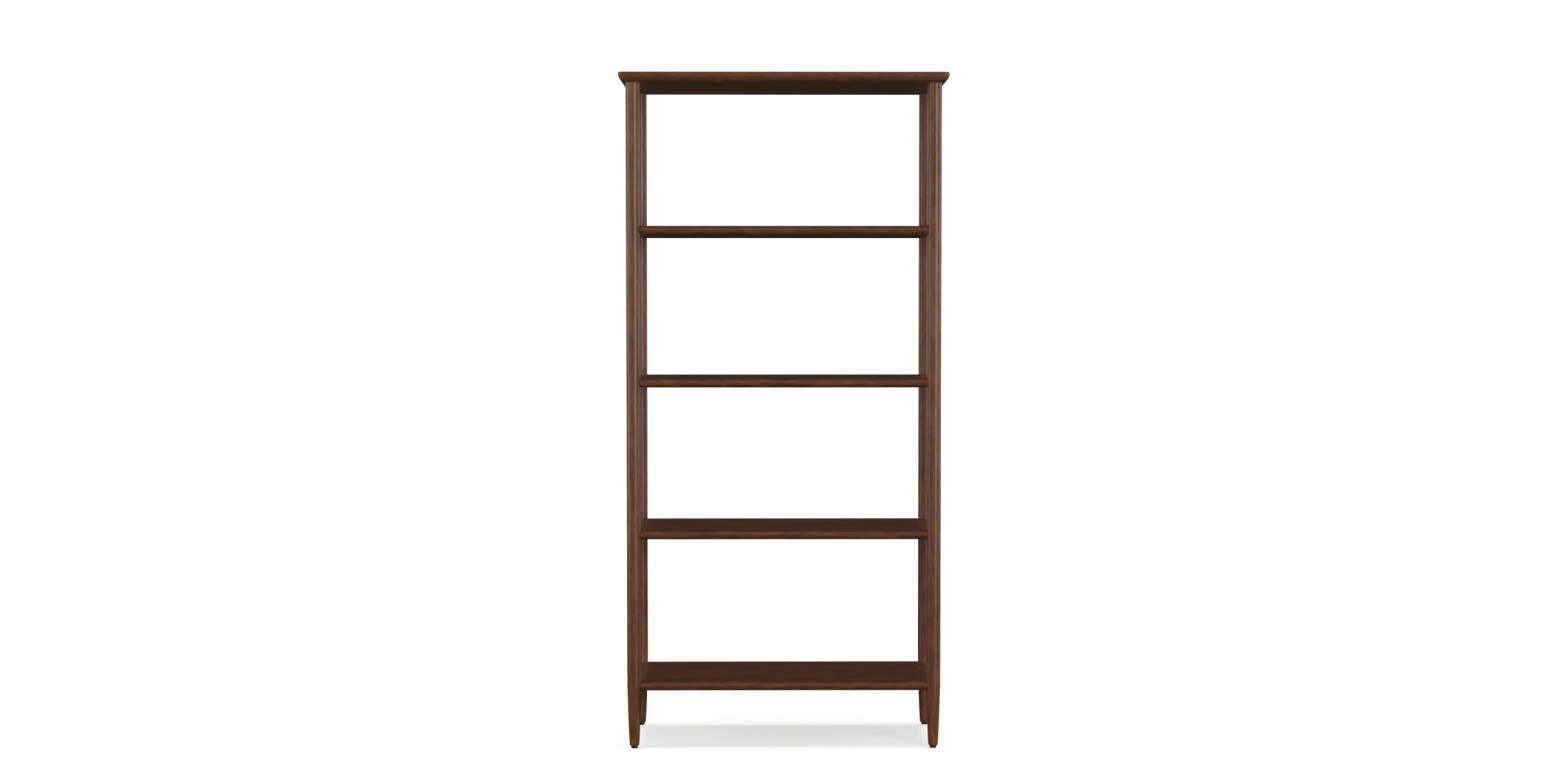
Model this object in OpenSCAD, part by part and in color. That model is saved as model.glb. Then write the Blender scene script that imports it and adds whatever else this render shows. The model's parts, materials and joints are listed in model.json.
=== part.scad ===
// Open bookcase: a moulded top on four round posts, with two fixed shelves and two adjustable ones.
// Millimetres. The origin is on the floor under the middle of the top, the front faces -Y and +Z is up.

/* [Overall size] */
// Width across the top
top_w = 914; // [600:1:1200]
// Depth across the top
top_d = 419; // [320:1:600]
// Height of the top's upper face above the floor
total_h = 1880; // [1860:1:2100]

/* [Top] */
// Thickness of the top
top_t = 27; // [24:0.5:32]
// Distance that the top reaches past the posts
overhang = 19; // [15:1:40]
// Square part of the moulded edge, above its quarter round
edge_lip = 6; // [5:0.5:8]
// Radius on the upper arris of the moulded edge
arris_r = 3.5; // [1:0.5:4]
// Radius of the top's corners, seen from above
corner_r = 14; // [6:1:16]
// Width of the solid strips around the top
top_strip_w = 26; // [26:1:28]

/* [Posts] */
// Diameter of a post
post_d = 40; // [38:1:48]
// Diameter at the lower end of the taper
foot_d = 26.6; // [25:0.2:34]
// Height at which the taper begins
taper_h = 240; // [150:5:300]

/* [Shelves] */
// Thickness of a shelf, which is also the diameter of its bullnose
shelf_t = 25; // [24:0.5:28]
// Height of the bottom shelf's upper face
bottom_shelf_h = 186.5; // [160:0.5:220]
// Vertical distance from one shelf to the next
shelf_pitch = 423.9; // [380:0.1:424]
// Width of the solid bullnosed strips around a shelf
shelf_strip_w = 40; // [36:1:50]
// Gap between an adjustable shelf and the posts it is coped around
cope_gap = 0.4; // [0.3:0.1:1]

/* [Shelf pins] */
// Diameter of a shelf pin
pin_d = 6; // [5:0.5:6]
// Distance between the rows of pin holes
pin_pitch = 32; // [25:1:40]
// Rows of spare holes above and below each adjustable shelf
spare_rows = 3; // [0:1:4]

/* [Levelling feet] */
// Diameter of a glide
glide_d = 18; // [16:1:19]
// Height of a glide
glide_h = 4.7; // [4:0.1:4.8]
// Diameter of the threaded stem
stem_d = 8; // [6:1:8]

/* [Hidden] */

$fn = 64;
// A cut runs this far past the face it opens
over = 1;

// Posts: the distances of their axes from the middle, and the heights of their ends
post_r = post_d / 2;
post_x = top_w / 2 - overhang - post_r;
post_y = top_d / 2 - overhang - post_r;
post_base = 5;
post_top = total_h - top_t;
// A chamfer closes the foot down to the glide
foot_chamfer_h = 4;
foot_end_d = 20;
taper_steps = 14;

// Shelves: heights of their upper faces
upper_h = bottom_shelf_h + 3 * shelf_pitch;
middle_h = bottom_shelf_h + 2 * shelf_pitch;
lower_h = bottom_shelf_h + shelf_pitch;
// A shelf's bullnose starts at the posts' axes, so its outline stands half its thickness outside them
nose_r = shelf_t / 2;
shelf_w = 2 * (post_x + nose_r);
shelf_d = 2 * (post_y + nose_r);

// Facets in the curves of the moulded edge
arris_steps = 5;
round_steps = 12;

// Tongue on each edge of a panel, and the groove for it in the strip
tongue_t = 8;
tongue_l = 8;
groove_l = 8.5;

// Shelf pins: half of the pin sits in the post, and the other half in a pocket under the shelf
pin_in = 10;
pin_out = 10;
pin_chamfer = 0.6;
pin_hole_d = pin_d + 0.1;
pin_hole_depth = pin_in + 0.5;
pin_pocket_w = pin_d + 0.6;
pin_pocket_h = pin_d + 0.5;
pin_pocket_l = 2 * pin_out + 1;
pin_top_gap = 0.2;
pin_drop = shelf_t - pin_pocket_h + pin_top_gap + pin_d / 2;

// Bolts that hold the fixed shelves and the top
bolt_d = 6;
bolt_hole_d = 6.5;
head_d = 11;
head_h = 4;
key_d = 4.6;
key_depth = 2.5;
plug_d = 12;
plug_seat = 10;
bolt_reach = 56;
nut_d = 10;
nut_l = 14;
nut_hole_d = 10.2;
nut_hole_depth = 20;
nut_setback = 16;
top_bolt_reach = 43;
insert_d = 10;
insert_l = 20;
insert_hole_l = 28;

// Levelling feet
leg_insert_d = 12;
leg_insert_l = 20;
stem_base = 2;
stem_l = 34;
stem_hole_l = 45;
// The stem clears its hole in the post by this across the diameter, and its insert and glide by twice running
stem_clearance = 1;
running = 0.05;
glide_edge = 1;

walnut = [0.36, 0.23, 0.16];
walnut_light = [0.42, 0.27, 0.19];
steel = [0.62, 0.62, 0.64];
brass = [0.76, 0.62, 0.36];
nylon = [0.07, 0.06, 0.06];

// ---- Places and directions ----

// Puts a child at the post on side sx, sy, with the child's -X pointing at the middle of the bookcase
module at_post(sx, sy)
    translate([sx * post_x, sy * post_y, 0])
        rotate([0, 0, sx < 0 ? 180 : 0])
            children();

module at_each_post()
    for (sx = [-1, 1], sy = [-1, 1])
        at_post(sx, sy) children();

// A cylinder of diameter d along +X, from x = from to x = to, at height z
module bar_x(d, from, to, z = 0)
    translate([from, 0, z])
        rotate([0, 90, 0])
            cylinder(d = d, h = to - from);

// ---- Posts ----

// Outline of the tapered foot: an arc that is tangent to the post, then a chamfer
module foot_outline() {
    chamfer_top = post_base + foot_chamfer_h;
    rise = taper_h - chamfer_top;
    inset = post_r - foot_d / 2;
    arc_r = (rise * rise + inset * inset) / (2 * inset);
    sweep = asin(rise / arc_r);
    arc = [for (i = [0 : taper_steps])
        let (a = sweep * i / taper_steps)
        [post_r - arc_r * (1 - cos(a)), taper_h - arc_r * sin(a)]];
    polygon(concat([[0, taper_h]], arc, [[foot_end_d / 2, post_base], [0, post_base]]));
}

// Blind holes for the pins, in rows around each adjustable shelf
module pin_holes()
    for (h = [upper_h, lower_h], row = [-spare_rows : spare_rows])
        bar_x(pin_hole_d, -post_r - over, -post_r + pin_hole_depth, h - pin_drop + row * pin_pitch);

// Through hole for each fixed shelf's bolt, with a seat for the head and the plug
module shelf_bolt_holes()
    for (h = [middle_h, bottom_shelf_h]) {
        bar_x(bolt_hole_d, -post_r - over, post_r, h - nose_r);
        bar_x(plug_d, post_r - plug_seat, post_r + over, h - nose_r);
    }

module post_body() {
    color(walnut)
        difference() {
            union() {
                rotate_extrude() foot_outline();
                translate([0, 0, taper_h]) cylinder(r = post_r, h = post_top - taper_h);
            }
            pin_holes();
            shelf_bolt_holes();
            translate([0, 0, post_top - insert_hole_l]) cylinder(d = insert_d, h = insert_hole_l + over);
            translate([0, 0, post_base - over]) cylinder(d = leg_insert_d, h = leg_insert_l + over);
            translate([0, 0, post_base]) cylinder(d = stem_d + stem_clearance, h = stem_hole_l);
        }
}

module front_left_post() at_post(-1, -1) post_body();
module front_right_post() at_post(1, -1) post_body();
module rear_left_post() at_post(-1, 1) post_body();
module rear_right_post() at_post(1, 1) post_body();

// ---- Boards: a panel with a tongue on each edge, inside four mitred strips ----

// Panel that leaves room for strips of width strip around an outline of w by d, t thick
module tongued_panel(w, d, t, strip) {
    inner_w = w - 2 * strip;
    inner_d = d - 2 * strip;
    tongue_z = (t - tongue_t) / 2;
    translate([-inner_w / 2, -inner_d / 2, 0]) cube([inner_w, inner_d, t]);
    translate([-inner_w / 2 - tongue_l, -inner_d / 2, tongue_z])
        cube([inner_w + 2 * tongue_l, inner_d, tongue_t]);
    translate([-inner_w / 2, -inner_d / 2 - tongue_l, tongue_z])
        cube([inner_w, inner_d + 2 * tongue_l, tongue_t]);
}

// Profile run along the -Y side of an outline of run by across.
// The profile's x is the distance in from the outer edge, and its y is the height.
module strip_run(run, across)
    translate([-run / 2, -across / 2, 0])
        rotate([90, 0, 90])
            linear_extrude(run) children();

// Space that the -Y strip of an outline may fill, cut at 45 degrees at both ends
module mitre_space(run, across, strip, t)
    linear_extrude(t)
        polygon([
            [-run / 2, -across / 2], [run / 2, -across / 2],
            [run / 2 - strip, -across / 2 + strip], [-run / 2 + strip, -across / 2 + strip]
        ]);

module groove_outline(strip, t)
    translate([strip - groove_l, (t - tongue_t) / 2]) square([groove_l + over, tongue_t]);

// ---- Top ----

// Square lip with a rounded arris, over a quarter round that sweeps in to the underside
module top_profile() {
    round_r = top_t - edge_lip;
    arris = [for (i = [0 : arris_steps])
        let (a = 90 * i / arris_steps)
        [arris_r - arris_r * sin(a), top_t - arris_r + arris_r * cos(a)]];
    quarter = [for (i = [0 : round_steps])
        let (a = 90 * i / round_steps)
        [round_r - round_r * cos(a), round_r - round_r * sin(a)]];
    polygon(concat([[top_strip_w, top_t]], arris, quarter, [[top_strip_w, 0]]));
}

// The profile turned about the middle of a rounded corner
module turned_corner()
    rotate_extrude()
        intersection() {
            translate([corner_r, 0]) mirror([1, 0]) top_profile();
            square([corner_r, top_t]);
        }

// What the rounded corner on side -1 or 1 takes off the -Y strip
module corner_waste(side, run, across)
    translate([side * (run / 2 - corner_r), -across / 2 + corner_r, 0])
        difference() {
            translate([side < 0 ? -corner_r - over : 0, -corner_r - over, -over])
                cube([corner_r + over, corner_r + over, top_t + 2 * over]);
            turned_corner();
        }

module top_strip(turn, run, across)
    color(walnut_light)
        translate([0, 0, post_top])
            rotate([0, 0, turn])
                intersection() {
                    difference() {
                        strip_run(run, across) top_profile();
                        strip_run(run, across) groove_outline(top_strip_w, top_t);
                        for (side = [-1, 1])
                            corner_waste(side, run, across);
                    }
                    mitre_space(run, across, top_strip_w, top_t);
                }

module top_front_strip() top_strip(0, top_w, top_d);
module top_rear_strip() top_strip(180, top_w, top_d);
module top_right_strip() top_strip(90, top_d, top_w);
module top_left_strip() top_strip(-90, top_d, top_w);

module top_panel() {
    color(walnut_light)
        difference() {
            translate([0, 0, post_top]) tongued_panel(top_w, top_d, top_t, top_strip_w);
            at_each_post() {
                translate([0, 0, post_top - over]) cylinder(d = bolt_hole_d, h = top_t + over);
                translate([0, 0, total_h - plug_seat]) cylinder(d = plug_d, h = plug_seat + over);
            }
        }
}

// ---- Shelves ----

module shelf_profile()
    difference() {
        union() {
            translate([nose_r, nose_r]) circle(r = nose_r);
            translate([nose_r, 0]) square([shelf_strip_w - nose_r, shelf_t]);
        }
        groove_outline(shelf_strip_w, shelf_t);
    }

// Pocket that drops over the exposed half of each pin
module pin_pockets()
    at_each_post()
        translate([-post_r - pin_pocket_l, -pin_pocket_w / 2, -over])
            cube([pin_pocket_l + over, pin_pocket_w, pin_pocket_h + over]);

// Hole for the bolt in the end of a fixed shelf, and for its barrel nut from below
module nut_holes()
    at_each_post() {
        bar_x(bolt_hole_d, post_r - plug_seat - bolt_reach - over, -post_r + over, nose_r);
        translate([-post_r - nut_setback, 0, -over]) cylinder(d = nut_hole_d, h = nut_hole_depth + over);
    }

// One strip of the shelf whose upper face is at height h, coped around the posts with a gap
module shelf_strip(h, turn, run, across, gap)
    color(walnut)
        translate([0, 0, h - shelf_t])
            difference() {
                rotate([0, 0, turn])
                    intersection() {
                        strip_run(run, across) shelf_profile();
                        mitre_space(run, across, shelf_strip_w, shelf_t);
                    }
                at_each_post()
                    translate([0, 0, -over]) cylinder(r = post_r + gap, h = shelf_t + 2 * over);
                if (gap > 0)
                    pin_pockets();
                else
                    nut_holes();
            }

module shelf_panel(h)
    color(walnut)
        translate([0, 0, h - shelf_t])
            tongued_panel(shelf_w, shelf_d, shelf_t, shelf_strip_w);

module upper_shelf_panel() shelf_panel(upper_h);
module upper_shelf_front_strip() shelf_strip(upper_h, 0, shelf_w, shelf_d, cope_gap);
module upper_shelf_rear_strip() shelf_strip(upper_h, 180, shelf_w, shelf_d, cope_gap);
module upper_shelf_left_strip() shelf_strip(upper_h, -90, shelf_d, shelf_w, cope_gap);
module upper_shelf_right_strip() shelf_strip(upper_h, 90, shelf_d, shelf_w, cope_gap);

module middle_shelf_panel() shelf_panel(middle_h);
module middle_shelf_front_strip() shelf_strip(middle_h, 0, shelf_w, shelf_d, 0);
module middle_shelf_rear_strip() shelf_strip(middle_h, 180, shelf_w, shelf_d, 0);
module middle_shelf_left_strip() shelf_strip(middle_h, -90, shelf_d, shelf_w, 0);
module middle_shelf_right_strip() shelf_strip(middle_h, 90, shelf_d, shelf_w, 0);

module lower_shelf_panel() shelf_panel(lower_h);
module lower_shelf_front_strip() shelf_strip(lower_h, 0, shelf_w, shelf_d, cope_gap);
module lower_shelf_rear_strip() shelf_strip(lower_h, 180, shelf_w, shelf_d, cope_gap);
module lower_shelf_left_strip() shelf_strip(lower_h, -90, shelf_d, shelf_w, cope_gap);
module lower_shelf_right_strip() shelf_strip(lower_h, 90, shelf_d, shelf_w, cope_gap);

module bottom_shelf_panel() shelf_panel(bottom_shelf_h);
module bottom_shelf_front_strip() shelf_strip(bottom_shelf_h, 0, shelf_w, shelf_d, 0);
module bottom_shelf_rear_strip() shelf_strip(bottom_shelf_h, 180, shelf_w, shelf_d, 0);
module bottom_shelf_left_strip() shelf_strip(bottom_shelf_h, -90, shelf_d, shelf_w, 0);
module bottom_shelf_right_strip() shelf_strip(bottom_shelf_h, 90, shelf_d, shelf_w, 0);

// ---- Shelf pins ----

// Plain pin with chamfered ends, under the shelf whose upper face is at height h
module shelf_pin(h, sx, sy)
    color(brass)
        at_post(sx, sy)
            translate([-post_r - pin_out, 0, h - pin_drop])
                rotate([0, 90, 0])
                    rotate_extrude()
                        polygon([
                            [0, 0], [pin_d / 2 - pin_chamfer, 0], [pin_d / 2, pin_chamfer],
                            [pin_d / 2, pin_in + pin_out - pin_chamfer],
                            [pin_d / 2 - pin_chamfer, pin_in + pin_out], [0, pin_in + pin_out]
                        ]);

module upper_pin_front_left() shelf_pin(upper_h, -1, -1);
module upper_pin_front_right() shelf_pin(upper_h, 1, -1);
module upper_pin_rear_left() shelf_pin(upper_h, -1, 1);
module upper_pin_rear_right() shelf_pin(upper_h, 1, 1);

module lower_pin_front_left() shelf_pin(lower_h, -1, -1);
module lower_pin_front_right() shelf_pin(lower_h, 1, -1);
module lower_pin_rear_left() shelf_pin(lower_h, -1, 1);
module lower_pin_rear_right() shelf_pin(lower_h, 1, 1);

// ---- Levelling feet ----

// Round glide with a socket for the stem that swivels in it
module glide(sx, sy)
    color(nylon)
        at_post(sx, sy)
            difference() {
                rotate_extrude()
                    polygon([
                        [0, 0], [glide_d / 2 - glide_edge, 0], [glide_d / 2, glide_edge],
                        [glide_d / 2, glide_h], [0, glide_h]
                    ]);
                translate([0, 0, stem_base - running]) cylinder(d = stem_d + 2 * running, h = glide_h);
            }

// Threaded stem, drawn plain, with a hexagon socket in its upper end
module stem(sx, sy)
    color(steel)
        at_post(sx, sy)
            difference() {
                translate([0, 0, stem_base]) cylinder(d = stem_d, h = stem_l);
                translate([0, 0, stem_base + stem_l - key_depth])
                    cylinder(d = key_d, h = key_depth + over, $fn = 6);
            }

module glide_front_left() glide(-1, -1);
module glide_front_right() glide(1, -1);
module glide_rear_left() glide(-1, 1);
module glide_rear_right() glide(1, 1);

module stem_front_left() stem(-1, -1);
module stem_front_right() stem(1, -1);
module stem_rear_left() stem(-1, 1);
module stem_rear_right() stem(1, 1);

module leg_inserts()
    color(brass)
        at_each_post()
            difference() {
                translate([0, 0, post_base]) cylinder(d = leg_insert_d, h = leg_insert_l);
                translate([0, 0, post_base - over])
                    cylinder(d = stem_d + 2 * running, h = leg_insert_l + 2 * over);
            }

// ---- Bolts, nuts, inserts and plugs ----

// Bolt with its head's outer face at the origin and its shank along -X, with a hexagon socket
module socket_bolt(reach)
    difference() {
        union() {
            bar_x(head_d, -head_h, 0);
            bar_x(bolt_d, -head_h - reach, -head_h);
        }
        translate([-key_depth, 0, 0])
            rotate([0, 90, 0])
                cylinder(d = key_d, h = key_depth + over, $fn = 6);
    }

module shelf_bolts()
    color(steel)
        for (h = [middle_h, bottom_shelf_h])
            at_each_post()
                translate([post_r - plug_seat + head_h, 0, h - nose_r]) socket_bolt(bolt_reach);

module barrel_nuts()
    color(steel)
        for (h = [middle_h, bottom_shelf_h])
            at_each_post()
                translate([-post_r - nut_setback, 0, h - nose_r])
                    difference() {
                        translate([0, 0, -nut_l / 2]) cylinder(d = nut_d, h = nut_l);
                        bar_x(bolt_d, -nut_d, nut_d);
                    }

// Plugs over the shelf bolts, rounded to the post
module bolt_plugs()
    color(walnut_light)
        for (h = [middle_h, bottom_shelf_h])
            at_each_post()
                intersection() {
                    bar_x(plug_d, post_r - plug_seat + head_h, post_r + over, h - nose_r);
                    translate([0, 0, h - shelf_t]) cylinder(r = post_r, h = shelf_t);
                }

module top_bolts()
    color(steel)
        at_each_post()
            translate([0, 0, total_h - plug_seat + head_h])
                rotate([0, -90, 0]) socket_bolt(top_bolt_reach);

module top_plugs()
    color(walnut_light)
        at_each_post()
            translate([0, 0, total_h - plug_seat + head_h])
                cylinder(d = plug_d, h = plug_seat - head_h);

// Threaded inserts in the upper ends of the posts
module post_inserts()
    color(brass)
        at_each_post()
            difference() {
                translate([0, 0, post_top - insert_l]) cylinder(d = insert_d, h = insert_l);
                translate([0, 0, post_top - insert_l - over]) cylinder(d = bolt_d, h = insert_l + 2 * over);
            }

top_panel();
top_front_strip();
top_rear_strip();
top_left_strip();
top_right_strip();
front_left_post();
front_right_post();
rear_left_post();
rear_right_post();
upper_shelf_panel();
upper_shelf_front_strip();
upper_shelf_rear_strip();
upper_shelf_left_strip();
upper_shelf_right_strip();
middle_shelf_panel();
middle_shelf_front_strip();
middle_shelf_rear_strip();
middle_shelf_left_strip();
middle_shelf_right_strip();
lower_shelf_panel();
lower_shelf_front_strip();
lower_shelf_rear_strip();
lower_shelf_left_strip();
lower_shelf_right_strip();
bottom_shelf_panel();
bottom_shelf_front_strip();
bottom_shelf_rear_strip();
bottom_shelf_left_strip();
bottom_shelf_right_strip();
upper_pin_front_left();
upper_pin_front_right();
upper_pin_rear_left();
upper_pin_rear_right();
lower_pin_front_left();
lower_pin_front_right();
lower_pin_rear_left();
lower_pin_rear_right();
glide_front_left();
glide_front_right();
glide_rear_left();
glide_rear_right();
stem_front_left();
stem_front_right();
stem_rear_left();
stem_rear_right();
leg_inserts();
shelf_bolts();
barrel_nuts();
bolt_plugs();
top_bolts();
top_plugs();
post_inserts();
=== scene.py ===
"""Open bookcase: round tapered posts, a moulded top and bullnosed shelves in dark stained walnut.

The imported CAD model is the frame. The wooden posts and strips are rebuilt here as finer meshes in the same
places, the levelling stems get real threads, and everything gets a procedural finish. Units are metres."""

import json
import math
from functools import partial

import bmesh
import bpy
import numpy as np
from mathutils import Euler, Matrix, Vector


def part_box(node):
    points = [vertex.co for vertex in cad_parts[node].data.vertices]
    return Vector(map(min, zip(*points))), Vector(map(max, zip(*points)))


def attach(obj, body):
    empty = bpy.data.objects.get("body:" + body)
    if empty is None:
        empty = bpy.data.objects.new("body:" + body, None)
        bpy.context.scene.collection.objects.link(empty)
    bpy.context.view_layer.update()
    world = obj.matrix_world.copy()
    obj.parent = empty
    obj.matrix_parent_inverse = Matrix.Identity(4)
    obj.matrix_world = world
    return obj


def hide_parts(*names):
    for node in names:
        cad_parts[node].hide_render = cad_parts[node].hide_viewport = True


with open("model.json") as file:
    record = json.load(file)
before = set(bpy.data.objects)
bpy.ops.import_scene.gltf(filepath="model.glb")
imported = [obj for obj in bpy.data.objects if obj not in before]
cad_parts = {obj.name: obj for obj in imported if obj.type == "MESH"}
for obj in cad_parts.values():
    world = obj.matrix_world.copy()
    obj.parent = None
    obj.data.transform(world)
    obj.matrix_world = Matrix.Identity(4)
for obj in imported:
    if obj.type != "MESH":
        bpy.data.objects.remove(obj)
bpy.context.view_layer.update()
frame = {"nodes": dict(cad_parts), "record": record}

MM = 0.001
UP = Vector((0, 0, 1))
SIDES = {"front": 0, "right": 90, "rear": 180, "left": 270}
CORNERS = ("front_left", "front_right", "rear_left", "rear_right")
SHELVES = ("upper", "middle", "lower", "bottom")


# ---- Sizes read from the frame ----

def middle(node):
    """Centre of a CAD node's box."""
    low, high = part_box(node)
    return (low + high) / 2


def body_of_node(node):
    """Name of the CAD body that holds the node."""
    return next(b for b, members in frame["record"]["behaviour"]["bodies"].items() if node in members)


post_low, post_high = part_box("front_right_post")
POST_R = (post_high.x - post_low.x) / 2
POST_X = (post_low.x + post_high.x) / 2
POST_Y = -(post_low.y + post_high.y) / 2
POST_BASE = post_low.z
POST_TOP = post_high.z

strip_low, strip_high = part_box("middle_shelf_front_strip")
SHELF_T = strip_high.z - strip_low.z
NOSE_R = SHELF_T / 2
SHELF_STRIP = strip_high.y - strip_low.y

top_low, top_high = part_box("top_front_strip")
TOP_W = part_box("top_right_strip")[1].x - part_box("top_left_strip")[0].x
TOP_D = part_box("top_rear_strip")[1].y - top_low.y
TOP_T = top_high.z - top_low.z
TOP_STRIP = top_high.y - top_low.y
CORNER_R = 14 * MM
ARRIS_R = 3.5 * MM
EDGE_LIP = 6 * MM

# Foot of a post: the arc of the taper starts here, and a chamfer closes it
TAPER_TOP = 240 * MM
FOOT_R = 13.3 * MM
CHAMFER_TOP = POST_BASE + 4 * MM
FOOT_END_R = 10 * MM

PIN_PITCH = 32 * MM
PIN_ROWS = 3
PIN_HOLE_R = 3.05 * MM
PIN_HOLE_DEPTH = 10.5 * MM
PIN_HOLE_FLARE = 0.5 * MM
POCKET_W = 6.6 * MM
POCKET_H = 6.5 * MM
POCKET_L = 21 * MM

# Bolts of the fixed shelves: a seat for head and plug in the post, then a clearance hole past the barrel nut
PLUG_R = 6 * MM
PLUG_SEAT = 10 * MM
BOLT_HOLE_R = 3.25 * MM
BOLT_HOLE_END = 47 * MM
NUT_HOLE_R = 5.1 * MM
NUT_HOLE_L = 20 * MM
NUT_HOLE_FLARE = 0.3 * MM
NUT_SETBACK = 16 * MM

# Holes up a foot and down into a post's upper end
LEG_INSERT_R = 6 * MM
LEG_INSERT_L = 20 * MM
STEM_HOLE_R = 4.5 * MM
STEM_HOLE_L = 45 * MM
POST_INSERT_R = 5 * MM
POST_INSERT_L = 28 * MM

# Groove in a strip for the panel's tongue
GROOVE_T = 8 * MM
GROOVE_L = 8.5 * MM

# Gap between an adjustable shelf and the posts, the seam beside a panel, and the
# broken arrises at the ends of a shelf's strips
SHELF_GAP = 0.4 * MM
SEAM = 0.2 * MM
EASE = 1.1 * MM
THREAD_PITCH = 1.25 * MM

# What keeps the top's strips just inside the CAD box, and the angles in degrees above which an edge is sharp
HAIR = 0.001 * MM
CREASE = 35
THREAD_CREASE = 50


# ---- Meshes ----

def close_up(mesh, crease):
    """Welds the mesh and turns its faces outward, then shades it smooth except across edges whose faces meet
    above the crease angle."""
    bm = bmesh.new()
    bm.from_mesh(mesh)
    bmesh.ops.remove_doubles(bm, verts=bm.verts, dist=1e-6)
    bmesh.ops.dissolve_degenerate(bm, edges=bm.edges, dist=1e-7)
    bmesh.ops.recalc_face_normals(bm, faces=bm.faces)
    limit = math.radians(crease)
    for face in bm.faces:
        face.smooth = True
    for edge in bm.edges:
        edge.smooth = len(edge.link_faces) == 2 and edge.calc_face_angle() < limit
    bm.to_mesh(mesh)
    bm.free()


def make_piece(name, verts, faces, material, worn=None, crease=CREASE):
    """Mesh object from points and faces, smooth except where faces meet above the crease angle.
    worn gives each point a weight, 1 on an arris that handling polishes."""
    mesh = bpy.data.meshes.new(name)
    mesh.from_pydata([tuple(v) for v in verts], [], faces)
    if worn is not None:
        layer = mesh.attributes.new("worn", "FLOAT", "POINT")
        layer.data.foreach_set("value", [float(w) for w in worn])
    close_up(mesh, crease)
    mesh.materials.append(material)
    piece = bpy.data.objects.new(name, mesh)
    bpy.context.scene.collection.objects.link(piece)
    return piece


def stand_for(piece, node):
    """The piece rides on the node's body and is shown in its place."""
    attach(piece, body_of_node(node))
    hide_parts(node)
    return piece


def give(node, material):
    """Puts the finish on a CAD node that keeps its own shape."""
    slots = frame["nodes"][node].data.materials
    slots.clear()
    slots.append(material)


def steps(start, end, count):
    """count + 1 even steps from start to end."""
    return [start + (end - start) * i / count for i in range(count + 1)]


def ring_faces(rings, sides):
    """Faces that join rings of points, listed one ring after the other, and close both ends."""
    faces = []
    for ring in range(rings - 1):
        for i in range(sides):
            here, there = ring * sides + i, ring * sides + (i + 1) % sides
            faces.append((here, there, there + sides, here + sides))
    faces.append(tuple(range(sides))[::-1])
    faces.append(tuple(range((rings - 1) * sides, rings * sides)))
    return faces


# ---- Strips: profiles as (inset, upper height, lower height), run along one side of a rectangle ----

def shelf_profile(ease):
    """Full bullnose, then flat on both sides to the joint with the panel, which has a hairline seam.
    ease draws the whole profile in, for an end with its arrises broken."""
    rows = []
    for turn in steps(0, 90, 14):
        out, up = math.cos(math.radians(turn)), math.sin(math.radians(turn))
        rise = (NOSE_R - ease) * up
        rows.append((NOSE_R - (NOSE_R - ease) * out, NOSE_R + rise, NOSE_R - rise, 0.15))
    cope_end = NOSE_R + POST_R / math.sqrt(2)
    high, low = SHELF_T - ease, ease
    for inset in steps(NOSE_R, cope_end, 8)[1:]:
        rows.append((inset, high, low, 0))
    for inset in (cope_end + 2 * MM, SHELF_STRIP - 2 * MM, SHELF_STRIP - SEAM):
        fade = 0.02 * MM / ease if ease else 0.0
        rows.append((inset, SHELF_T - ease * fade, ease * fade, 0))
    rows.append((SHELF_STRIP, SHELF_T - SEAM, SEAM, 0))
    return rows


def top_profile(ease):
    """Rounded arris and square lip over a quarter round that sweeps in to the underside.
    ease lets the profile in by a hairline at the mitres."""
    round_r = TOP_T - EDGE_LIP

    def lower(inset):
        reach = round_r - inset
        return round_r - math.sqrt(round_r * round_r - reach * reach) if reach > 0 else 0.0

    def upper(inset):
        reach = ARRIS_R - inset
        return TOP_T - ARRIS_R + math.sqrt(ARRIS_R * ARRIS_R - reach * reach) if reach > 0 else TOP_T

    insets = [ARRIS_R * (1 - math.cos(math.radians(a))) for a in steps(0, 90, 7)]
    insets += [round_r * (1 - math.cos(math.radians(a))) for a in steps(0, 90, 16)]
    insets += [round_r + 2 * MM, TOP_STRIP - SEAM]
    rows = []
    for inset in sorted({round(i, 7) for i in insets}):
        worn = max(0.0, 1 - inset / (1.6 * ARRIS_R))
        rows.append((inset, upper(inset) - ease, lower(inset) + ease, worn))
    rows.append((TOP_STRIP, TOP_T - SEAM, SEAM, 0))
    return rows


def shelf_path(half_run, inset, gap):
    """Stations along the -Y side from corner to corner: coped to the posts, then mitred."""
    reach = POST_R + gap
    offset = inset - NOSE_R
    if offset < reach / math.sqrt(2):
        end = NOSE_R + math.sqrt(reach * reach - offset * offset)
    else:
        end = inset
    stations = [half_run - end - d for d in (0, 0.12 * EASE, 0.5 * EASE, EASE, 3 * MM, 12 * MM)]
    inner = steps(-stations[-1], stations[-1], 24)[1:-1]
    return [(x, inset) for x in [-s for s in stations] + inner + stations[::-1]]


def top_path(half_run, inset):
    """Stations along the -Y side from mitre to mitre, with the outline's corners rounded."""
    soft = 0.8 * MM
    sharp = 0.02 * MM
    round_r = TOP_T - EDGE_LIP
    radius = max(CORNER_R - inset, soft if inset < round_r - MM else sharp)
    centre = half_run - inset - radius
    arc = [(centre + radius * math.sin(math.radians(a)), inset + radius * (1 - math.cos(math.radians(a))))
           for a in steps(45, 0, 8)]
    inner = [(x, inset) for x in steps(centre, -centre, 24)[1:-1]]
    return [(-x, y) for x, y in arc] + [(x, y) for x, y in inner[::-1]] + arc[::-1]


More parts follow.
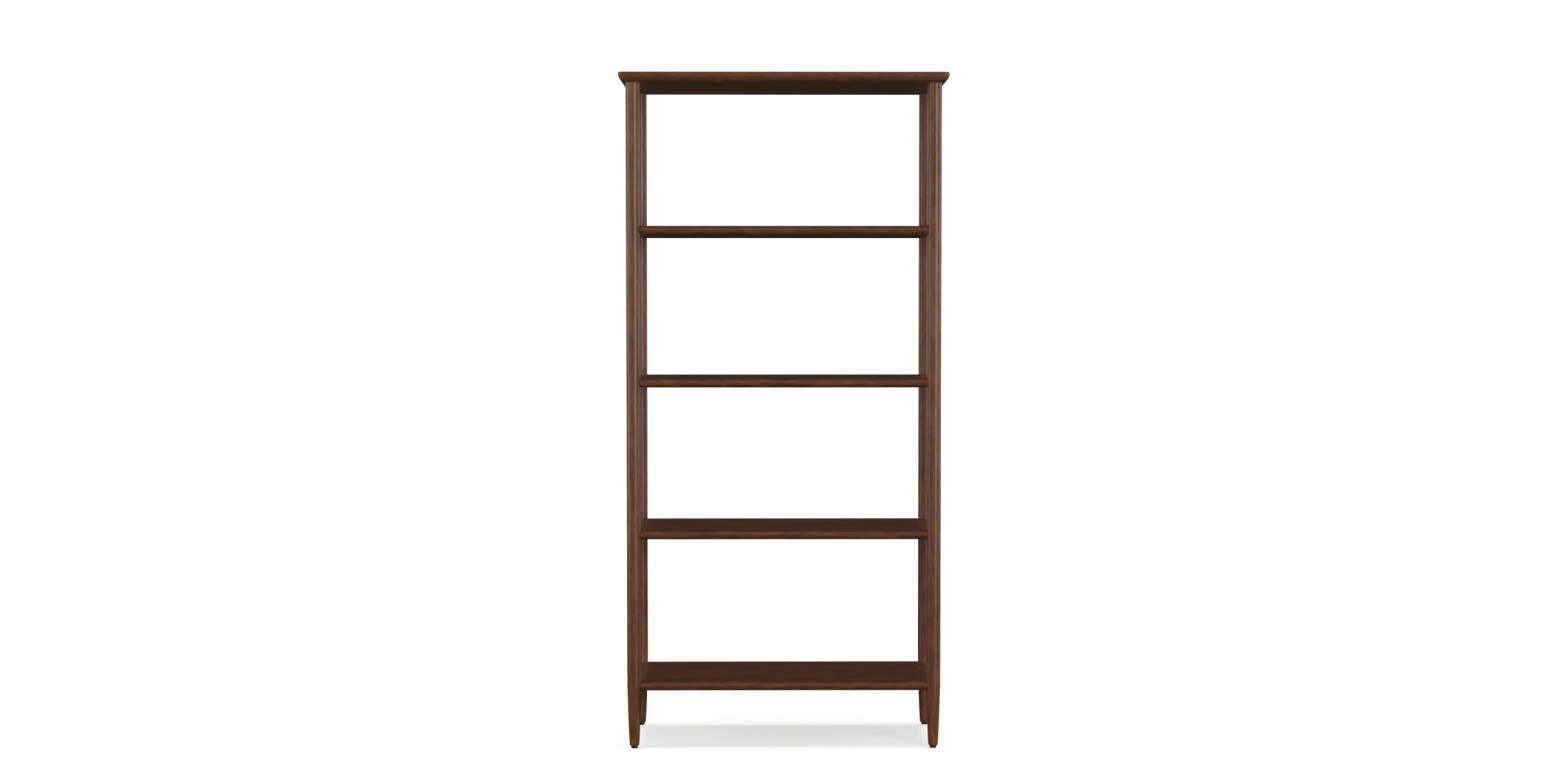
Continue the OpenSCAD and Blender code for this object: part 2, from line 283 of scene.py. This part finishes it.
def strip_mesh(name, profile, eases, path, half_run, half_across, base, turn, material):
    """Sweeps the profile along the rows' paths, and turns the -Y strip round to its own side. eases says how
    far the profile is let in at the first stations from either end."""
    spin = Matrix.Rotation(math.radians(turn), 4, "Z")
    upper, lower, worn = [], [], []
    rows = profile(0.0)
    eased = [profile(ease) for ease in eases]
    for index, row in enumerate(rows):
        stations = path(half_run, row[0])
        points = ([], [])
        for i, (x, y) in enumerate(stations):
            from_end = min(i, len(stations) - 1 - i)
            inset, *heights, _ = eased[from_end][index] if from_end < len(eased) else row
            for line, z in zip(points, heights):
                line.append(spin @ Vector((x, -half_across + y + inset - row[0], base + z)))
        upper.append(points[0])
        lower.append(points[1])
        worn.append(row[3])
    across, along = len(rows), len(upper[0])
    verts, weights = [], []
    for line in (upper, lower):
        for row, wear in zip(line, worn):
            verts += row
            weights += [wear] * along

    def at(level, row, station):
        return (level * across + row) * along + station

    faces = []
    for s in range(along - 1):
        for r in range(across - 1):
            faces.append((at(0, r, s), at(0, r, s + 1), at(0, r + 1, s + 1), at(0, r + 1, s)))
            faces.append((at(1, r, s), at(1, r + 1, s), at(1, r + 1, s + 1), at(1, r, s + 1)))
        for r in (0, across - 1):
            faces.append((at(0, r, s), at(1, r, s), at(1, r, s + 1), at(0, r, s + 1)))
    for s in (0, along - 1):
        for r in range(across - 1):
            faces.append((at(0, r, s), at(0, r + 1, s), at(1, r + 1, s), at(1, r, s)))
    return make_piece(name, verts, faces, material, weights)


def groove_cutter(half_run, half_across, strip_w, base, thickness, turn):
    """Cutter for the groove along the inner edge of a strip, for the panel's tongue."""
    spin = Matrix.Rotation(math.radians(turn), 4, "Z")
    inner = -half_across + strip_w
    foot = base + (thickness - GROOVE_T) / 2
    verts, faces = box_cutter((-half_run, inner - GROOVE_L, foot), (half_run, inner + MM, foot + GROOVE_T))
    return [spin @ v for v in verts], faces


def cut_end_fittings(strip, shelf, across, base):
    """Cuts what is let into a front or rear strip: a pin pocket at each end of an adjustable shelf, or the
    holes for a barrel nut and its bolt at each end of a fixed one."""
    pockets, nut_holes, bolt_holes = [], [], []
    y = across * POST_Y
    for side in (-1, 1):
        post_face = side * (POST_X - POST_R)
        inward = Vector((-side, 0, 0))
        ends = sorted((post_face - side * POCKET_L, post_face + side * MM))
        low = (ends[0], y - POCKET_W / 2, base - MM)
        high = (ends[1], y + POCKET_W / 2, base + POCKET_H)
        pockets.append(box_cutter(low, high))
        mouth = Vector((post_face - side * NUT_SETBACK, y, base))
        nut_holes.append(hole_cutter(mouth, UP, NUT_HOLE_R, NUT_HOLE_L, NUT_HOLE_FLARE))
        start = Vector((post_face, y, base + NOSE_R))
        rings = [(BOLT_HOLE_R, -MM), (BOLT_HOLE_R, BOLT_HOLE_END - POST_R)]
        bolt_holes.append(bore_cutter(start, inward, rings))
    for cutters in ((pockets,) if shelf in ("upper", "lower") else (nut_holes, bolt_holes)):
        cut(strip, cutters)


# ---- Posts ----

def post_outline():
    """(radius, height, wear) from the foot to the top: chamfer, tapering arc, straight."""
    inset = POST_R - FOOT_R
    rise = TAPER_TOP - CHAMFER_TOP
    arc_r = (rise * rise + inset * inset) / (2 * inset)
    soft = 0.7 * MM
    line = [(FOOT_END_R - soft, POST_BASE, 0.6), (FOOT_END_R, POST_BASE + soft / 2, 1)]
    line += [(FOOT_R - soft / 2, CHAMFER_TOP - soft / 2, 1)]
    for z in steps(CHAMFER_TOP + soft / 2, TAPER_TOP, 40):
        depth = TAPER_TOP - z
        radius = POST_R - arc_r + math.sqrt(arc_r * arc_r - depth * depth)
        line.append((radius, z, 0.8 if z < CHAMFER_TOP + MM else 0))
    line += [(POST_R, z, 0) for z in steps(TAPER_TOP, POST_TOP - soft, 60)[1:]]
    line.append((POST_R - 0.15 * MM, POST_TOP, 0))
    return line


def lathe(name, outline, centre, material, sides=96):
    """Closed solid of revolution about the vertical line through centre."""
    verts, weights = [], []
    for radius, z, wear in outline:
        for i in range(sides):
            turn = 2 * math.pi * i / sides
            verts.append((centre.x + radius * math.cos(turn), centre.y + radius * math.sin(turn), z))
            weights.append(wear)
    return make_piece(name, verts, ring_faces(len(outline), sides), material, weights)


def bore_cutter(start, along, rings):
    """Cutter turned about a line, from rings of (radius, distance along it)."""
    sides = 40
    across = along.orthogonal().normalized()
    up = along.cross(across)
    verts = []
    for radius, distance in rings:
        for i in range(sides):
            turn = 2 * math.pi * i / sides
            out = across * math.cos(turn) + up * math.sin(turn)
            verts.append(start + along * distance + out * radius)
    return verts, ring_faces(len(rings), sides)


def hole_cutter(mouth, inward, radius, depth, flare):
    """Blind hole with a flared mouth and a broken edge at its bottom."""
    out = 1.5 * MM
    edge = 0.4 * MM
    rings = [(radius + flare + out, -out), (radius, flare), (radius, depth - edge), (radius - edge, depth)]
    return bore_cutter(mouth, inward, rings)


def box_cutter(low, high):
    """Square-edged cutter between two corners."""
    ends = list(zip(low, high))
    verts = [Vector((x, y, z)) for x in ends[0] for y in ends[1] for z in ends[2]]
    return verts, [(0, 1, 3, 2), (4, 6, 7, 5), (0, 4, 5, 1), (2, 3, 7, 6), (0, 2, 6, 4), (1, 5, 7, 3)]


def cut(piece, cutters):
    """Subtracts the cutters, each (points, faces), from the piece."""
    mesh = bpy.data.meshes.new("cutters")
    bm = bmesh.new()
    for verts, faces in cutters:
        made = [bm.verts.new(v) for v in verts]
        for face in faces:
            bm.faces.new([made[i] for i in face])
    bmesh.ops.recalc_face_normals(bm, faces=bm.faces)
    bm.to_mesh(mesh)
    bm.free()
    tool = bpy.data.objects.new("cutters", mesh)
    bpy.context.scene.collection.objects.link(tool)
    modifier = piece.modifiers.new("holes", "BOOLEAN")
    modifier.operation = "DIFFERENCE"
    modifier.solver = "EXACT"
    modifier.object = tool
    graph = bpy.context.evaluated_depsgraph_get()
    result = bpy.data.meshes.new_from_object(piece.evaluated_get(graph))
    piece.modifiers.clear()
    close_up(result, CREASE)
    old, piece.data = piece.data, result
    bpy.data.meshes.remove(old)
    bpy.data.objects.remove(tool)
    bpy.data.meshes.remove(mesh)


def round_normals(piece, centre, outline):
    """Gives the turned surface its true normals, so that the holes leave no shading marks on it."""
    mesh = piece.data
    heights = np.array([z for _, z, _ in outline])
    radii = np.array([r for r, _, _ in outline])
    normals = [Vector(n.vector) for n in mesh.corner_normals]
    for face in mesh.polygons:
        flat = Vector((face.center.x - centre.x, face.center.y - centre.y, 0))
        surface = np.interp(face.center.z, heights, radii)
        if flat.length < surface - 0.25 * MM or face.center.z < CHAMFER_TOP + MM:
            continue
        if abs(face.normal.z) > 0.5 or face.normal.dot(flat.normalized()) < 0.97:
            continue
        for k in face.loop_indices:
            at = mesh.vertices[mesh.loops[k].vertex_index].co
            slope = (np.interp(at.z + MM, heights, radii) - np.interp(at.z - MM, heights, radii)) / (2 * MM)
            if at.z > TAPER_TOP:
                slope = 0.0
            normals[k] = Vector((at.x - centre.x, at.y - centre.y, 0)).normalized() + Vector((0, 0, -slope))
            normals[k].normalize()
    mesh.normals_split_custom_set(normals)


def make_post(corner, material):
    """One post: pin holes on the inner side, plug seats and bolt holes from the outer side, and the holes for
    its inserts and its levelling stem."""
    node = corner + "_post"
    centre = middle(node)
    outline = post_outline()
    piece = lathe(node + "_turned", outline, centre, material)
    side = 1 if centre.x > 0 else -1
    inward = Vector((-side, 0, 0))
    cutters = []
    for shelf in ("upper", "lower"):
        pin_z = middle(f"{shelf}_pin_{corner}").z
        for row in range(-PIN_ROWS, PIN_ROWS + 1):
            mouth = Vector((centre.x - side * POST_R, centre.y, pin_z + row * PIN_PITCH))
            cutters.append(hole_cutter(mouth, -inward, PIN_HOLE_R, PIN_HOLE_DEPTH, PIN_HOLE_FLARE))
    for shelf in ("middle", "bottom"):
        mouth = Vector((centre.x + side * POST_R, centre.y, middle(f"{shelf}_shelf_panel").z))
        rings = [(PLUG_R + 1.6 * MM, -1.5 * MM), (PLUG_R, 0.1 * MM), (PLUG_R, PLUG_SEAT)]
        rings += [(BOLT_HOLE_R, PLUG_SEAT), (BOLT_HOLE_R, 2 * POST_R + MM)]
        cutters.append(bore_cutter(mouth, inward, rings))
    foot = Vector((centre.x, centre.y, POST_BASE))
    rings = [(LEG_INSERT_R, -MM), (LEG_INSERT_R, LEG_INSERT_L), (STEM_HOLE_R, LEG_INSERT_L),
             (STEM_HOLE_R, STEM_HOLE_L)]
    cutters.append(bore_cutter(foot, UP, rings))
    crown = Vector((centre.x, centre.y, POST_TOP))
    cutters.append(bore_cutter(crown, -UP, [(POST_INSERT_R, -MM), (POST_INSERT_R, POST_INSERT_L)]))
    cut(piece, cutters)
    round_normals(piece, centre, outline)
    return stand_for(piece, node)


# ---- Levelling stems ----

def make_stem(corner, material):
    """Stem with a real helical thread over a plain neck."""
    node = "stem_" + corner
    low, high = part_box(node)
    centre = (low + high) / 2
    outer = (high.x - low.x) / 2
    depth = 0.61 * THREAD_PITCH
    sides, per_turn = 48, 12
    plain = 2.2 * MM
    rings = int((high.z - low.z - plain) / THREAD_PITCH * per_turn)
    verts = []
    levels = [(low.z, False), (low.z + plain * 0.98, False)]
    levels += [(z, True) for z in steps(low.z + plain, high.z, rings)]
    for z, cut_in in levels:
        fade = min(1.0, (high.z - z) / THREAD_PITCH)
        for i in range(sides):
            turn = 2 * math.pi * i / sides
            phase = (z / THREAD_PITCH - i / sides) % 1.0
            groove = max(0.0, 1 - abs(2 * phase - 1) * 1.15) if cut_in else 0.0
            radius = outer - depth * groove - (1 - fade) * 0.8 * MM
            verts.append((centre.x + radius * math.cos(turn), centre.y + radius * math.sin(turn), z))
    faces = ring_faces(len(levels), sides)
    piece = make_piece(node + "_threaded", verts, faces, material, crease=THREAD_CREASE)
    return stand_for(piece, node)


# ---- Finishes ----

class Finish:
    """A Principled material and short ways to add and join its nodes."""

    def __init__(self, name):
        self.material = bpy.data.materials.new(name)
        self.material.use_nodes = True
        self.tree = self.material.node_tree
        self.shader = next(n for n in self.tree.nodes if n.type == "BSDF_PRINCIPLED")

    def node(self, kind, inputs=None, **settings):
        made = self.tree.nodes.new("ShaderNode" + kind)
        for key, value in settings.items():
            setattr(made, key, value)
        for key, value in (inputs or {}).items():
            self.put(made.inputs[key], value)
        return made

    def put(self, socket, value):
        if isinstance(value, bpy.types.NodeSocket):
            self.tree.links.new(value, socket)
        else:
            socket.default_value = value

    def set(self, **values):
        for key, value in values.items():
            self.put(self.shader.inputs[key.replace("_", " ")], value)

    def noise(self, at, scale, detail=2.0, rough=0.5, warp=0.0):
        made = self.node("TexNoise", {"Vector": at, "Scale": scale, "Detail": detail, "Roughness": rough,
                                      "Distortion": warp})
        return made.outputs["Fac"]

    def stretch(self, at, scale):
        return self.node("Mapping", {"Vector": at, "Scale": scale}).outputs["Vector"]

    def remap(self, value, low, high, to_low=0.0, to_high=1.0):
        made = self.node("MapRange", {"Value": value, "From Min": low, "From Max": high, "To Min": to_low,
                                      "To Max": to_high})
        return made.outputs["Result"]

    def math(self, operation, a, b):
        return self.node("Math", {0: a, 1: b}, operation=operation).outputs[0]

    def mix(self, factor, a, b, blend="MIX"):
        made = self.node("Mix", data_type="RGBA", blend_type=blend)
        for index, value in ((0, factor), (6, a), (7, b)):
            self.put(made.inputs[index], value)
        return made.outputs[2]

    def bump(self, height, distance, strength=1.0):
        made = self.node("Bump", {"Height": height, "Distance": distance, "Strength": strength})
        self.set(Normal=made.outputs["Normal"])


GRAIN_TURN = {"z": (0, 0, 0), "x": (0, math.radians(90), 0), "y": (math.radians(90), 0, 0)}

# Stain from its darkest to its lightest figure, as (place on the ramp, shade)
STAIN = ((0.0, (0.067, 0.0210, 0.0078)), (0.35, (0.130, 0.0430, 0.0148)), (0.65, (0.180, 0.0635, 0.0225)),
         (1.0, (0.256, 0.0965, 0.0365)))
PORE_SHADE = (0.022, 0.009, 0.005, 1)
SPECKLE_SHADE = (0.20, 0.105, 0.066, 1)
RUBBED_SHADE = (0.225, 0.115, 0.066, 1)

# A post's foot is painted paler between these heights, by up to this gain: painted light standing in for
# extra light on the lower legs
PAINTED_LIGHT_FROM, PAINTED_LIGHT_TO = 0.22, 0.04
PAINTED_LIGHT_GAIN = (2.0, 2.1, 2.3, 1)


def wood(name, grain, seed, tone=1.0, ring_mm=5.0, painted_foot_light=0.0, gloss=1.0):
    """Satin walnut stain: growth rings about a pith beside the piece, streaks, pores, mottling and a lacquer
    coat. The foot amount paints the lowest part lighter: painted light standing in for extra light on the
    legs."""
    f = Finish(name)
    place = f.node("TexCoord").outputs["Object"]
    start = (0.61 * seed + 0.09, 0.37 * seed - 0.14, 0.23 * seed)
    at = f.node("Mapping", {"Vector": place, "Rotation": GRAIN_TURN[grain]}).outputs["Vector"]
    at = f.node("VectorMath", {0: at, 1: start}, operation="ADD").outputs[0]
    long_at = f.stretch(at, (1, 1, 0.12))
    drift = f.node("TexNoise", {"Vector": long_at, "Scale": 14, "Detail": 2.0}).outputs["Color"]
    drift = f.node("VectorMath", {0: drift, 1: (0.5, 0.5, 0.5)}, operation="SUBTRACT").outputs[0]
    drift = f.node("VectorMath", {0: drift, 1: (0.030, 0.030, 0.0)}, operation="MULTIPLY").outputs[0]
    bent = f.node("VectorMath", {0: long_at, 1: drift}, operation="ADD").outputs[0]
    rings = f.node("TexWave", {"Vector": bent, "Scale": 0.314 / (ring_mm * MM), "Distortion": 1.6,
                               "Detail": 3.0, "Detail Scale": 1.4, "Detail Roughness": 0.6},
                   wave_type="RINGS", rings_direction="Z", wave_profile="SAW").outputs["Fac"]
    streaks = f.noise(f.stretch(at, (1, 1, 0.02)), 420, 4.0, 0.6)
    pores = f.noise(f.stretch(at, (1, 1, 0.045)), 2600, 2.0, 0.55)
    pore = f.remap(pores, 0.60, 0.72)
    mottle = f.noise(f.stretch(at, (1, 1, 0.35)), 16, 3.0, 0.55)
    flame = f.noise(f.stretch(at, (1, 1, 0.20)), 95, 3.0, 0.6, 0.4)
    speckle = f.noise(place, 1500, 2.0, 0.5)

    value = f.math("ADD", f.remap(rings, 0, 1, -0.10, 0.10), 0.5)
    value = f.math("ADD", value, f.remap(streaks, 0.3, 0.7, -0.20, 0.20))
    value = f.math("ADD", value, f.remap(mottle, 0.3, 0.7, -0.16, 0.16))
    value = f.math("ADD", value, f.remap(flame, 0.3, 0.7, -0.27, 0.27))
    ramp = f.node("ValToRGB", {"Fac": value})
    stops = ramp.color_ramp.elements
    while len(stops) < len(STAIN):
        stops.new(0.5)
    for stop, (where, shade) in zip(stops, STAIN):
        stop.position = where
        stop.color = (*[min(1.0, c * tone) for c in shade], 1)
    colour = ramp.outputs["Color"]
    # Painted light: the lowest part of a post is painted paler towards the floor, standing in for extra light
    # on the legs
    if painted_foot_light:
        height = f.node("SeparateXYZ", {0: place}).outputs["Z"]
        painted_light_mask = f.remap(height, PAINTED_LIGHT_FROM, PAINTED_LIGHT_TO, 0.0, painted_foot_light)
        colour = f.mix(painted_light_mask, colour, PAINTED_LIGHT_GAIN, "MULTIPLY")
    colour = f.mix(f.math("MULTIPLY", pore, 0.55), colour, PORE_SHADE)
    colour = f.mix(f.remap(speckle, 0.35, 0.65, 0.0, 0.10), colour, SPECKLE_SHADE)
    worn = f.node("Attribute", attribute_name="worn").outputs["Fac"]
    rubbed = f.math("MULTIPLY", worn, f.remap(f.noise(place, 90, 3.0), 0.35, 0.65, 0.05, 0.40))
    colour = f.mix(rubbed, colour, RUBBED_SHADE)

    satin = 0.34 + 0.12 * (1 - gloss)
    rough = f.math("ADD", f.remap(mottle, 0.3, 0.7, satin, satin + 0.07), f.math("MULTIPLY", pore, 0.12))
    height = f.math("SUBTRACT", f.math("MULTIPLY", streaks, 0.35), f.math("MULTIPLY", pore, 0.6))
    height = f.math("ADD", height, f.math("MULTIPLY", f.noise(place, 240, 2.0), 0.5))
    f.bump(height, 0.00005, 0.6)
    f.set(Base_Color=colour, Roughness=rough, Metallic=0.0, IOR=1.5)
    f.set(Specular_IOR_Level=0.5 * gloss, Coat_Weight=0.35 * gloss, Coat_Roughness=0.30, Coat_IOR=1.5)
    return f.material


def metal(name, shade, rough, brushed):
    """Machined metal: fine turning marks, a little tarnish and handling smudges."""
    f = Finish(name)
    place = f.node("TexCoord").outputs["Object"]
    marks = f.noise(f.stretch(place, brushed), 900, 3.0, 0.6)
    tarnish = f.noise(place, 260, 4.0, 0.6)
    dark = tuple(c * 0.62 for c in shade) + (1,)
    light = tuple(min(1.0, c * 1.08) for c in shade) + (1,)
    colour = f.mix(f.remap(tarnish, 0.35, 0.7), light, dark)
    colour = f.mix(f.remap(marks, 0.3, 0.7, 0.0, 0.25), colour, dark)
    f.bump(marks, 0.00004, 0.5)
    f.set(Base_Color=colour, Metallic=1.0, Roughness=f.remap(tarnish, 0.3, 0.7, rough - 0.06, rough + 0.12))
    return f.material


def nylon(name):
    """Black moulded nylon with a fine grain, scuffed pale where it has slid on a floor."""
    f = Finish(name)
    place = f.node("TexCoord").outputs["Object"]
    grain = f.noise(place, 2200, 2.0, 0.5)
    scuff = f.noise(place, 420, 5.0, 0.7)
    colour = f.mix(f.remap(scuff, 0.48, 0.72, 0.0, 0.5), (0.013, 0.011, 0.010, 1), (0.05, 0.045, 0.042, 1))
    f.bump(grain, 0.00006, 0.5)
    f.set(Base_Color=colour, Roughness=f.remap(scuff, 0.3, 0.7, 0.42, 0.62), IOR=1.53)
    return f.material


# ---- Wooden pieces ----

for number, corner in enumerate(CORNERS):
    make_post(corner, wood(f"post_{corner}_wood", "z", 3 + 2 * number, tone=1.6, ring_mm=4.5, painted_foot_light=0.3))


for number, shelf in enumerate(SHELVES):
    board = wood(f"{shelf}_shelf_board", "x", 21 + 3 * number, tone=1.3, ring_mm=7.0, gloss=0.42)
    give(f"{shelf}_shelf_panel", board)
    gap = SHELF_GAP if shelf in ("upper", "lower") else 0.0
    low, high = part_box(f"{shelf}_shelf_panel")
    for side, turn in SIDES.items():
        node = f"{shelf}_shelf_{side}_strip"
        half_run, half_across = POST_X + NOSE_R, POST_Y + NOSE_R
        if turn % 180:
            half_run, half_across = half_across, half_run
        grain = "y" if turn % 180 else "x"
        finish = wood(f"{shelf}_shelf_{side}_wood", grain, 31 + 5 * number + turn / 90, tone=1.2, ring_mm=6.0,
                      gloss=0.65)
        strip = strip_mesh(node + "_bullnosed", shelf_profile, (EASE, 0.52 * EASE, 0.13 * EASE),
                           partial(shelf_path, gap=gap), half_run, half_across, low.z, turn, finish)
        cut(strip, [groove_cutter(half_run, half_across, SHELF_STRIP, low.z, SHELF_T, turn)])
        if side in ("front", "rear"):
            cut_end_fittings(strip, shelf, -1 if side == "front" else 1, low.z)
        stand_for(strip, node)

give("top_panel", wood("top_board", "x", 57, tone=1.25, ring_mm=7.0, gloss=0.42))
for side, turn in SIDES.items():
    node = f"top_{side}_strip"
    half_run, half_across = TOP_W / 2 - HAIR, TOP_D / 2 - HAIR
    if turn % 180:
        half_run, half_across = half_across, half_run
    grain = "y" if turn % 180 else "x"
    finish = wood(f"top_{side}_wood", grain, 63 + turn / 90, tone=1.25, ring_mm=6.0, gloss=0.65)
    strip = strip_mesh(node + "_moulded", top_profile, (0.03 * MM,), top_path, half_run, half_across,
                       top_low.z, turn, finish)
    cut(strip, [groove_cutter(half_run, half_across, TOP_STRIP, top_low.z, TOP_T, turn)])
    stand_for(strip, node)

give("bolt_plugs", wood("plug_face_grain", "y", 77, tone=0.9, ring_mm=3.0))
give("top_plugs", wood("top_plug_face_grain", "x", 79, tone=0.9, ring_mm=3.0))

# ---- Hardware ----

zinc = metal("zinc_plated_steel", (0.62, 0.63, 0.66), 0.26, (1, 1, 8))
brass_pin = metal("satin_brass_pins", (0.72, 0.50, 0.22), 0.30, (8, 1, 1))
brass_insert = metal("machined_brass_inserts", (0.70, 0.49, 0.23), 0.24, (1, 1, 8))
black_nylon = nylon("black_nylon")

for corner in CORNERS:
    make_stem(corner, zinc)
    give(f"glide_{corner}", black_nylon)
    for shelf in ("upper", "lower"):
        give(f"{shelf}_pin_{corner}", brass_pin)
for node in ("shelf_bolts", "barrel_nuts", "top_bolts"):
    give(node, zinc)
for node in ("leg_inserts", "post_inserts"):
    give(node, brass_insert)


# ---- Stage, light and camera ----

def make_floor():
    """Plain white studio sweep, glowing to an even white away from the bookcase."""
    size = 30.0
    near, far = 0.7, 3.2
    near_glow, far_glow = 0.56, 1.06
    mesh = bpy.data.meshes.new("floor")
    corners = [(-size, -size, 0), (size, -size, 0), (size, size, 0), (-size, size, 0)]
    mesh.from_pydata(corners, [], [(0, 1, 2, 3)])
    floor = bpy.data.objects.new("floor", mesh)
    bpy.context.scene.collection.objects.link(floor)
    f = Finish("white_sweep")
    place = f.node("TexCoord").outputs["Object"]
    away = f.node("VectorMath", {0: place}, operation="LENGTH").outputs["Value"]
    glow = f.remap(away, near, far, near_glow, far_glow)
    f.set(Base_Color=(0.86, 0.86, 0.86, 1), Roughness=0.9, Specular_IOR_Level=0.1)
    f.set(Emission_Color=(1, 1, 1, 1), Emission_Strength=glow)
    mesh.materials.append(f.material)
    floor.visible_diffuse = False
    floor.visible_glossy = False
    return floor


def make_softbox(name, place, aim, width, height, radiance):
    """Rectangular area light, with its brightness given as radiance."""
    data = bpy.data.lights.new(name, "AREA")
    data.shape = "RECTANGLE"
    data.size, data.size_y = width, height
    data.energy = radiance * math.pi * width * height
    light = bpy.data.objects.new(name, data)
    light.location = place
    light.visible_camera = False
    light.rotation_euler = (Vector(aim) - Vector(place)).to_track_quat("-Z", "Y").to_euler()
    bpy.context.scene.collection.objects.link(light)
    return light


def make_world(below, level, above):
    """White behind the object for the camera. As light, a dim surround: from below, near the horizon and from
    above."""
    world = bpy.data.worlds.new("studio")
    world.use_nodes = True
    tree = world.node_tree
    tree.nodes.clear()

    def node(kind, **inputs):
        made = tree.nodes.new("ShaderNode" + kind)
        for key, value in inputs.items():
            socket = made.inputs[int(key[1:]) if key[0] == "_" else key.replace("_", " ")]
            if isinstance(value, bpy.types.NodeSocket):
                tree.links.new(value, socket)
            else:
                socket.default_value = value
        return made

    direction = node("TexCoord").outputs["Generated"]
    height = node("SeparateXYZ", _0=direction).outputs["Z"]
    rise = node("MapRange", Value=height, From_Min=-0.12, From_Max=0.02, To_Min=below, To_Max=level)
    dome = node("MapRange", Value=height, From_Min=0.15, From_Max=0.60, To_Min=0.0, To_Max=above - level)
    for step in (rise, dome):
        step.interpolation_type = "SMOOTHSTEP"
    total = node("Math", _0=rise.outputs[0], _1=dome.outputs[0])
    surround = node("Background", Color=(1, 0.88, 0.78, 1), Strength=total.outputs[0])
    backdrop = node("Background", Color=(1, 1, 1, 1), Strength=1.05)
    seen = node("LightPath").outputs["Is Camera Ray"]
    choose = node("MixShader", _0=seen, _1=surround.outputs[0], _2=backdrop.outputs[0])
    node("OutputWorld", Surface=choose.outputs[0])
    bpy.context.scene.world = world


def make_camera():
    """Lens at chest height, a little left of the middle, looking slightly down and to the right."""
    left, back, height = 0.0455, 6.130, 1.256
    down, right = math.radians(2.42), math.radians(0.43)
    data = bpy.data.cameras.new("camera")
    data.sensor_width = 36.0
    data.lens = 50.63
    data.clip_end = 100
    camera = bpy.data.objects.new("camera", data)
    camera.location = (-left, -POST_Y - back, height)
    camera.rotation_euler = Euler((math.radians(90) - down, 0, -right), "XYZ")
    bpy.context.scene.collection.objects.link(camera)
    bpy.context.scene.camera = camera


floor = make_floor()
make_world(below=0.042, level=0.040, above=0.06)
CHEST = (0, 0, 1.1)
make_softbox("left_softbox", (-4.0, -0.7, 1.6), CHEST, width=2.0, height=3.0, radiance=2.55)
make_softbox("right_front_softbox", (3.9, -5.8, 1.6), CHEST, width=2.1, height=3.0, radiance=7.3)
make_softbox("right_fill", (4.5, 0.2, 1.6), CHEST, width=1.0, height=2.6, radiance=4.0)
make_softbox("left_front_softbox", (-3.0, -5.0, 2.0), CHEST, width=1.5, height=2.5, radiance=1.75)
make_softbox("front_high_softbox", (0.3, -4.5, 4.6), CHEST, width=2.5, height=1.5, radiance=2.5)
make_softbox("low_front_softbox", (0.0, -5.5, 0.5), (0, 0, 0.3), width=3.0, height=0.9, radiance=0.75)
make_softbox("overhead_softbox", (0, 0, 5.0), CHEST, width=3.0, height=2.0, radiance=0.9)
make_softbox("left_back_softbox", (-3.6, 3.8, 1.5), CHEST, width=1.2, height=2.4, radiance=2.2)
make_softbox("right_back_softbox", (3.6, 3.8, 1.5), CHEST, width=1.2, height=2.4, radiance=2.2)
# Lights only the floor, for the pool of light and the shadow under the bookcase
floor_light = make_softbox("floor_softbox", (0, 0.1, 4.5), (0, 0.1, 0), width=3.0, height=2.4, radiance=5.5)
lit = bpy.data.collections.new("lit_by_floor_softbox")
lit.objects.link(floor)
floor_light.light_linking.receiver_collection = lit
make_camera()
bpy.context.scene.view_settings.view_transform = "Standard"
bpy.context.scene.view_settings.look = "None"
